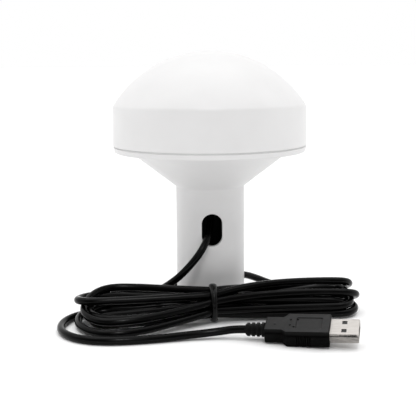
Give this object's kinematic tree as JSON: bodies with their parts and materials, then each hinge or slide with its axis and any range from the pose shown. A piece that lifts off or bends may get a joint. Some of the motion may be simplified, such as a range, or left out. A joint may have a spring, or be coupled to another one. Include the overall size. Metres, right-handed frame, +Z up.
{
  "type": "gnss receiver",
  "caption": "Mushroom-shaped satellite positioning receiver: domed white radome on a flanged cone and hollow threaded neck, with a black USB cord tied in a hank.",
  "frame": {"origin": "centre of the neck's foot, on the surface it stands on", "axes": "+Z up along the neck and dome axis; the cable outlet in the neck faces -Y; +X to the right seen from the outlet side"},
  "size_m": [0.1441, 0.1324, 0.126],
  "materials": {
    "cover_white": "smooth white ABS, semi-gloss",
    "housing_white": "smooth white ABS, semi-gloss",
    "liner_black": "black glass-filled nylon, satin",
    "seal_silicone": "light grey silicone",
    "seal_rubber": "black rubber",
    "cord_jacket": "black PVC jacket, soft sheen",
    "nylon": "natural nylon",
    "board": "green solder mask over glass-epoxy",
    "screw_steel": "zinc-plated",
    "tinned_metal": "tinned sheet",
    "foam_pad": "adhesive foam",
    "patch_ceramic": "unglazed dielectric ceramic",
    "silver_film": "fired silver",
    "chip_black": "moulded epoxy",
    "capacitor_tan": "chip ceramic",
    "lamp_lens": "clear resin",
    "wire_red": "PVC insulation",
    "wire_white": "PVC insulation",
    "wire_green": "PVC insulation",
    "wire_black": "PVC insulation",
    "tie_rubber": "rubber-coated tie",
    "plug_moulding": "black PVC overmoulding, matt",
    "plug_nickel": "nickel-plated steel, satin",
    "plug_insulator": "black thermoplastic",
    "contact_gold": "gold flash"
  },
  "bodies": {
    "root": {"antenna_electrode": "silver_film", "antenna_pad": "foam_pad", "antenna_patch": "patch_ceramic", "backup_cell": "tinned_metal", "base_housing": "housing_white", "board_header": "nylon", "board_screw_1": "screw_steel", "board_screw_2": "screw_steel", "board_screw_3": "screw_steel", "board_screw_4": "screw_steel", "cable_grommet": "seal_rubber", "cable_wire_1": "wire_red", "cable_wire_2": "wire_white", "cable_wire_3": "wire_green", "cable_wire_4": "wire_black", "capacitor_1": "capacitor_tan", "capacitor_2": "capacitor_tan", "capacitor_3": "capacitor_tan", "capacitor_4": "capacitor_tan", "cell_clip": "tinned_metal", "cord_hank": "cord_jacket", "cord_lead": "cord_jacket", "cord_tail": "cord_jacket", "crystal_can": "tinned_metal", "feed_pin": "tinned_metal", "gnss_module": "tinned_metal", "ground_plate": "tinned_metal", "hank_tie": "tie_rubber", "inner_cable": "cord_jacket", "lna_shield": "tinned_metal", "main_board": "board", "memory_chip": "chip_black", "neck_liner": "liner_black", "plug_body": "plug_moulding", "plug_contact_1": "contact_gold", "plug_contact_2": "contact_gold", "plug_contact_3": "contact_gold", "plug_contact_4": "contact_gold", "plug_relief": "plug_moulding", "plug_shell": "plug_nickel", "plug_tongue": "plug_insulator", "pull_stop": "nylon", "radome_cover": "cover_white", "regulator_chip": "chip_black", "seam_gasket": "seal_silicone", "status_lamp": "lamp_lens", "usb_chip": "chip_black", "wire_plug": "nylon"}
  },
  "joints": []
}
